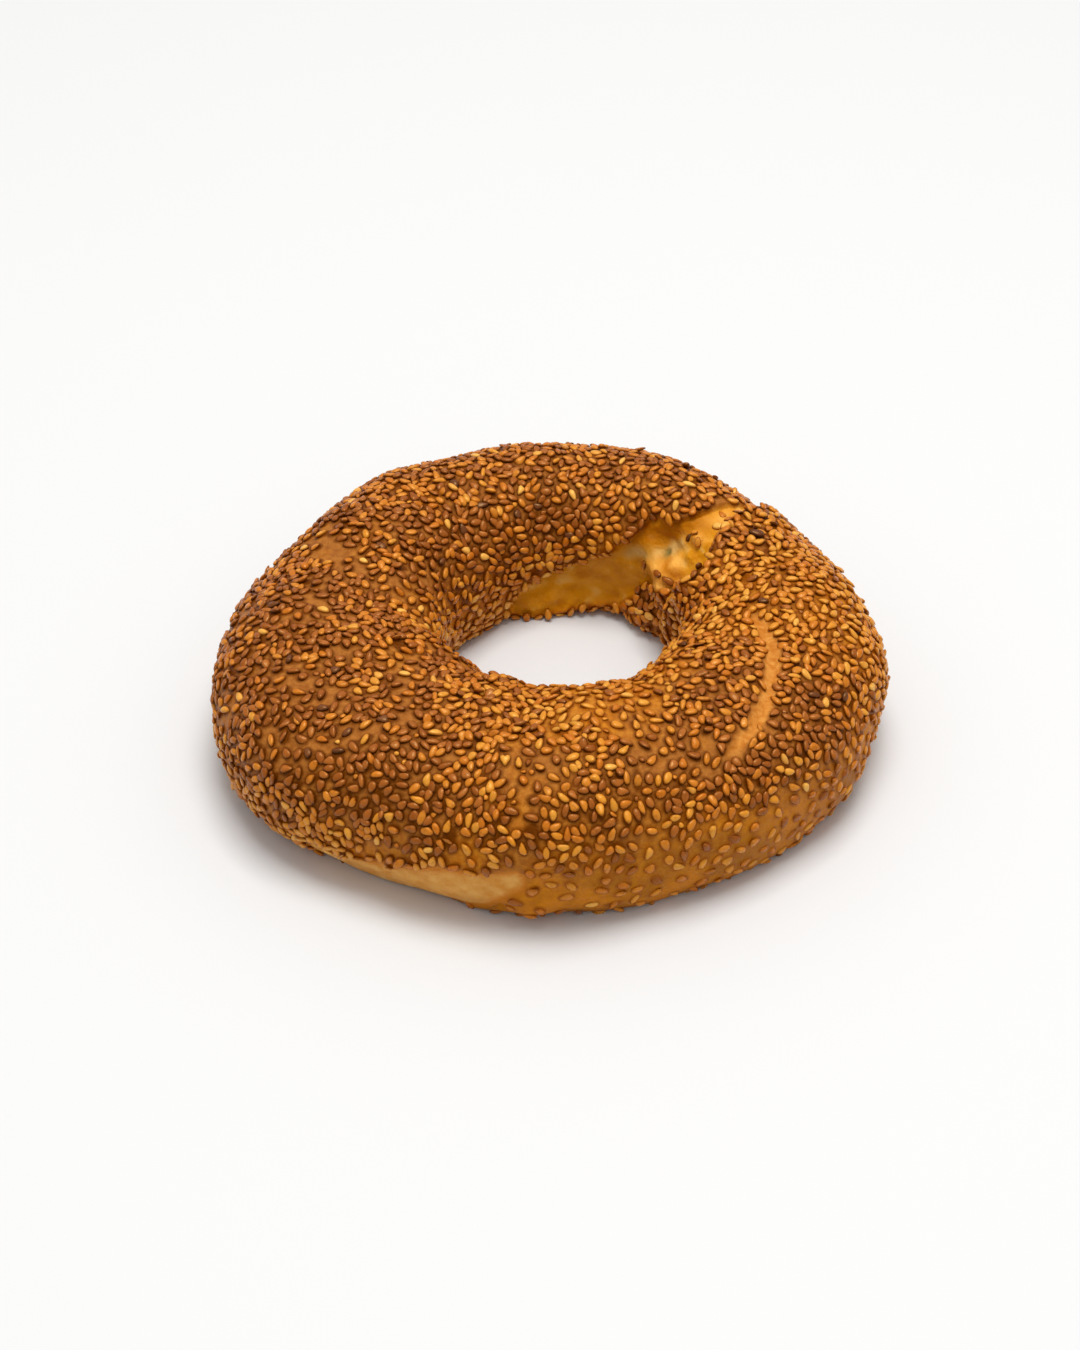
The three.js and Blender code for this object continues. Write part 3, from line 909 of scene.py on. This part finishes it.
class Nodes:
    """Adds nodes to one material."""

    def __init__(self, name):
        self.material = bpy.data.materials.new(name)
        self.material.use_nodes = True
        self.tree = self.material.node_tree
        self.shader = self.tree.nodes["Principled BSDF"].inputs
        self.place = self.tree.nodes.new("ShaderNodeTexCoord").outputs["Object"]

    def link(self, value, socket):
        if isinstance(value, bpy.types.NodeSocket):
            self.tree.links.new(value, socket)
        else:
            socket.default_value = value

    def attribute(self, name):
        node = self.tree.nodes.new("ShaderNodeAttribute")
        node.attribute_name = name
        return node.outputs["Fac"]

    def noise(self, wavelength, detail=3.0):
        """Noise from 0 to 1, with a wavelength in millimetres."""
        node = self.tree.nodes.new("ShaderNodeTexNoise")
        node.inputs["Scale"].default_value = 1 / (wavelength * MM)
        node.inputs["Detail"].default_value = detail
        self.link(self.place, node.inputs["Vector"])
        return node.outputs["Fac"]

    def mix(self, share, a, b):
        node = self.tree.nodes.new("ShaderNodeMix")
        node.data_type = "RGBA"
        sockets = [socket for socket in node.inputs if socket.enabled]
        for value, socket in zip((share, a, b), sockets):
            self.link(value, socket)
        return next(socket for socket in node.outputs if socket.enabled)

    def span(self, value, low, high, to_low=0.0, to_high=1.0):
        node = self.tree.nodes.new("ShaderNodeMapRange")
        for socket, number in zip(node.inputs, (value, low, high, to_low, to_high)):
            self.link(number, socket)
        return node.outputs["Result"]

    def add(self, a, b):
        node = self.tree.nodes.new("ShaderNodeMath")
        self.link(a, node.inputs[0])
        self.link(b, node.inputs[1])
        return node.outputs[0]

    def bump(self, height, depth, below=None):
        """Bumps of a depth in millimetres, over those below."""
        node = self.tree.nodes.new("ShaderNodeBump")
        node.inputs["Distance"].default_value = depth * MM
        self.link(height, node.inputs["Height"])
        if below is not None:
            self.link(below, node.inputs["Normal"])
        return node.outputs["Normal"]

    def glaze(self, gloss, tint, depth, weight):
        """Sets a tinted gloss, and light that goes a depth in millimetres into the stuff."""
        self.shader["Specular IOR Level"].default_value = gloss
        self.shader["Specular Tint"].default_value = tint
        self.shader["Subsurface Weight"].default_value = weight
        self.shader["Subsurface Radius"].default_value = LIGHT_REACH
        self.shader["Subsurface Scale"].default_value = depth * MM


# The crust's colours, each as two that a pattern or the baking goes between.
CRUST_COLOURS = {
    "golden": (srgb(188, 106, 6), srgb(212, 134, 24)),
    "brown": (srgb(142, 80, 26), srgb(168, 104, 42)),
    "low front": (srgb(140, 83, 0), srgb(194, 116, 12)),
    # Glaze pooled in the crevices, and painted shade there: the crust darker where it meets the seeds,
    # from lightly to well baked.
    "glaze and painted shade beside seeds": (srgb(152, 77, 0), srgb(98, 45, 0)),
    "seam": (srgb(184, 108, 32), srgb(208, 140, 62)),
    "scuff": (srgb(206, 136, 52), srgb(224, 166, 86)),
    "dough": (srgb(183, 110, 0), srgb(211, 141, 14)),
    "cream": (srgb(180, 127, 42), srgb(212, 172, 102)),
    "orange": (srgb(206, 126, 28), srgb(234, 168, 74)),
}
# The same painted shade and glaze beside the seeds low on the front, lighter where they sit deep in the
# crust.
LOW_GLAZE_AND_SHADE_BESIDE_SEEDS = srgb(154, 82, 0)
DOUGH_STREAK = srgb(226, 174, 84)
DOUGH_BLOTCH = srgb(220, 153, 48)
# Painted shade on the dough under the tear's upper edge.
UNDER_EDGE_SHADE = srgb(172, 100, 4)
PIT_COLOUR = srgb(118, 104, 52)
SCUFF_RIM = srgb(200, 118, 28)


def seeded_colour(nodes, fine):
    """The colour of the crust between the seeds, darker right beside them as painted shade in the
    crevices, with some glaze pooled there.
    """
    bake = nodes.add(nodes.attribute("bake"), nodes.span(nodes.noise(9.0), 0.3, 0.7, -0.18, 0.18))
    # Painted shade in the crevices round the seeds, with some glaze pooled there; it gives way to the
    # crust's own colour by the clearance.
    collar = nodes.mix(nodes.span(bake, 0.1, 0.7), *CRUST_COLOURS["glaze and painted shade beside seeds"])
    collar = nodes.mix(nodes.attribute("low"), collar, LOW_GLAZE_AND_SHADE_BESIDE_SEEDS)
    golden = nodes.mix(fine, *CRUST_COLOURS["golden"])
    brown = nodes.mix(fine, *CRUST_COLOURS["brown"])
    dry = nodes.mix(nodes.span(bake, 0.1, 0.8), golden, brown)
    patches = nodes.mix(nodes.span(nodes.noise(11.0), 0.4, 0.6), *CRUST_COLOURS["low front"])
    dry = nodes.mix(nodes.span(nodes.attribute("low"), 0.2, 1.0, 0.0, 0.7), dry, patches)
    return nodes.mix(nodes.span(nodes.attribute("clearance"), 0.0, 0.8), collar, dry)


def torn_colour(nodes):
    """The colour of the dough in the tear."""
    streaks = nodes.attribute("streaks")
    dough = nodes.mix(nodes.span(streaks, -0.6, 0.5), *CRUST_COLOURS["dough"])
    dough = nodes.mix(nodes.span(streaks, 0.3, 0.7, 0.0, 0.8), dough, DOUGH_STREAK)
    dough = nodes.mix(nodes.span(nodes.noise(4.0), 0.48, 0.64, 0.0, 0.4), dough, DOUGH_BLOTCH)
    # Painted shade under the tear's upper edge.
    dough = nodes.mix(nodes.attribute("under_edge_shade"), dough, UNDER_EDGE_SHADE)
    cream = nodes.mix(nodes.span(streaks, -0.4, 0.5), *CRUST_COLOURS["cream"])
    dough = nodes.mix(nodes.attribute("cream"), dough, cream)
    orange = nodes.mix(nodes.span(streaks, -0.5, 0.5), *CRUST_COLOURS["orange"])
    dough = nodes.mix(nodes.attribute("amber"), dough, orange)
    return nodes.mix(nodes.attribute("pit"), dough, PIT_COLOUR)


def scuff_colour(nodes):
    """The colour of the scuff, browner at its rim than in its middle."""
    crumb = nodes.span(nodes.noise(3.4, detail=5.0), 0.36, 0.66)
    scuff = nodes.mix(crumb, *CRUST_COLOURS["scuff"])
    return nodes.mix(nodes.span(nodes.attribute("scuff_depth"), 0.2, 2.2), SCUFF_RIM, scuff)


def crust_material():
    nodes = Nodes("crust")
    fine = nodes.span(nodes.noise(1.6, detail=5.0), 0.35, 0.68)
    seam = nodes.mix(fine, *CRUST_COLOURS["seam"])
    colour = nodes.mix(nodes.span(nodes.attribute("seam"), 0.15, 0.6), seeded_colour(nodes, fine), seam)
    colour = nodes.mix(nodes.attribute("tear"), colour, torn_colour(nodes))
    colour = nodes.mix(nodes.attribute("scuff"), colour, scuff_colour(nodes))
    nodes.link(colour, nodes.shader["Base Color"])
    moist = nodes.span(nodes.attribute("tear"), 0.0, 1.0, 0.0, -0.14)
    nodes.link(nodes.add(nodes.span(fine, 0.0, 1.0, 0.42, 0.6), moist), nodes.shader["Roughness"])
    skin = nodes.bump(nodes.noise(0.9, detail=4.0), 0.28)
    nodes.link(nodes.bump(nodes.noise(3.0), 0.42, below=skin), nodes.shader["Normal"])
    nodes.glaze(gloss=0.2, tint=srgb(255, 200, 120), depth=1.5, weight=0.1)
    return nodes.material


# Each kind of seed: its usual colour, its lighter one and the brown of its tip, which also darkens its
# edge as painted shade.
SEED_COLOURS = {
    "sesame_pale": (srgb(222, 154, 60), srgb(233, 175, 80), srgb(166, 94, 20)),
    "sesame_golden": (srgb(208, 129, 30), srgb(217, 148, 52), srgb(140, 70, 0)),
    "sesame_amber": (srgb(188, 103, 18), srgb(204, 126, 36), srgb(110, 48, 0)),
    "sesame_toasted": (srgb(142, 72, 16), srgb(167, 93, 30), srgb(80, 34, 0)),
    "sesame_dark": (srgb(94, 46, 20), srgb(112, 60, 28), srgb(58, 28, 10)),
}


def seed_material(name):
    usual, light, tip = SEED_COLOURS[name]
    nodes = Nodes(name)
    colour = nodes.mix(nodes.attribute("tone"), usual, light)
    colour = nodes.mix(nodes.span(nodes.noise(1.3), 0.5, 0.75, 0.0, 0.4), colour, tip)
    colour = nodes.mix(nodes.span(nodes.attribute("along"), 0.75, 1.0, 0.0, 0.6), colour, tip)
    # Painted shade: each seed darker towards its sides, as under light from above.
    colour = nodes.mix(nodes.span(nodes.attribute("edge"), 0.25, 0.9, 0.0, 0.85), colour, tip)
    nodes.link(colour, nodes.shader["Base Color"])
    nodes.link(nodes.span(nodes.noise(0.8), 0.3, 0.7, 0.22, 0.36), nodes.shader["Roughness"])
    nodes.link(nodes.bump(nodes.noise(0.6), 0.08), nodes.shader["Normal"])
    nodes.glaze(gloss=0.5, tint=srgb(255, 214, 150), depth=0.8, weight=0.1)
    return nodes.material


# ---- The stage, the lights and the camera ----

CAMERA_TARGET = (-2.9, 14.6, 0.0)
CAMERA_DISTANCE = 738.3
CAMERA_ELEVATION = 40.34
CAMERA_LENS = 78.4
CAMERA_SENSOR = 36  # height of the picture behind that lens
CAMERA_SEES = 20  # metres

# The light all round, from the horizon to straight overhead, and the window above the bread.
LIGHT_LOW = 0.32
LIGHT_OVERHEAD = 0.88
WINDOW_PLACE = (90, 80, 1600)
WINDOW_SIZE = 800
WINDOW_WATTS = 21

FLOOR_HALF = 8000
FLOOR_COLOUR = srgb(215, 215, 214)


def make_floor():
    half = FLOOR_HALF
    corners = [(-half, -half, 0), (half, -half, 0), (half, half, 0), (-half, half, 0)]
    floor = make_mesh("floor", corners, [(0, 1, 2, 3)])
    nodes = Nodes("floor")
    nodes.shader["Base Color"].default_value = FLOOR_COLOUR
    nodes.shader["Roughness"].default_value = 0.6
    nodes.shader["Specular IOR Level"].default_value = 0.3
    floor.data.materials.append(nodes.material)


def make_light(name, place, size, watts):
    """A square light that looks at the bread from a place."""
    light = bpy.data.lights.new(name, "AREA")
    light.shape = "SQUARE"
    light.size = size * MM
    light.energy = watts
    lamp = bpy.data.objects.new(name, light)
    lamp.location = Vector(place) * MM
    lamp.rotation_euler = (-Vector(place)).to_track_quat("-Z", "Y").to_euler()
    bpy.context.scene.collection.objects.link(lamp)


def make_lights():
    world = bpy.data.worlds.new("studio")
    world.use_nodes = True
    nodes, links = world.node_tree.nodes, world.node_tree.links
    direction = nodes.new("ShaderNodeTexCoord").outputs["Generated"]
    height = nodes.new("ShaderNodeSeparateXYZ")
    strength = nodes.new("ShaderNodeMapRange")
    strength.inputs["To Min"].default_value = LIGHT_LOW
    strength.inputs["To Max"].default_value = LIGHT_OVERHEAD
    links.new(direction, height.inputs[0])
    links.new(height.outputs["Z"], strength.inputs["Value"])
    links.new(strength.outputs["Result"], nodes["Background"].inputs["Strength"])
    nodes["Background"].inputs["Color"].default_value = srgb(255, 255, 255)
    bpy.context.scene.world = world
    make_light("window", WINDOW_PLACE, WINDOW_SIZE, WINDOW_WATTS)


def make_camera():
    camera = bpy.data.cameras.new("camera")
    camera.sensor_fit = "VERTICAL"
    camera.sensor_height = CAMERA_SENSOR
    camera.lens = CAMERA_LENS
    camera.clip_end = CAMERA_SEES
    holder = bpy.data.objects.new("camera", camera)
    elevation = np.radians(CAMERA_ELEVATION)
    back = Vector((0, -np.cos(elevation), np.sin(elevation)))
    holder.location = (Vector(CAMERA_TARGET) + CAMERA_DISTANCE * back) * MM
    holder.rotation_euler = (-back).to_track_quat("-Z", "Y").to_euler()
    bpy.context.scene.collection.objects.link(holder)
    bpy.context.scene.camera = holder


# ---- The simit ----


def make_crust(crust, clearance):
    """The crust in two halves, neither of too many faces."""
    collar = COLLAR * np.exp(-np.maximum(clearance, 0) / COLLAR_REACH)
    collar *= smoothstep(crust.points[..., 2], *COLLAR_HEIGHTS)
    points = crust.points + surface_normals(crust.points) * collar[..., None]
    normals = surface_normals(points)
    values = {
        "clearance": clearance,
        "bake": crust.bake(),
        "low": crust.low_front(),
        "tear": crust.tear,
        "scuff": crust.scuff,
        "scuff_depth": crust.scuff_depth,
        "seam": crust.seam,
        "cream": crust.cream(),
        "under_edge_shade": crust.under_edge_shade(),
        "amber": crust.amber(),
        "pit": crust.pit(),
        "streaks": crust.streaks(),
    }
    rows, columns = clearance.shape
    half = rows // 2
    faces = strip_faces(half + 1, columns)
    pieces = []
    for name, first in (("crust_join", 0), ("crust_front", half)):
        part = np.arange(first, first + half + 1) % rows
        part_points, part_normals = points[part].reshape(-1, 3), normals[part].reshape(-1, 3)
        part_values = {key: value[part] for key, value in values.items()}
        pieces.append(make_mesh(name, part_points, faces, part_values, part_normals))
    return pieces


def dress(piece, material):
    """Gives a piece its finish, and has it stand for the solid."""
    piece.data.materials.append(material)
    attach(piece, "root")
    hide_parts("simit")


make_camera()
make_lights()
make_floor()
crust = Crust(*crust_grid())
seeds = strew_seeds(crust)
finish = crust_material()
for piece in make_crust(crust, seeds.clearance()):
    dress(piece, finish)
for piece in seeds.build():
    dress(piece, seed_material(piece.name))
bpy.context.scene.view_settings.view_transform = "Standard"
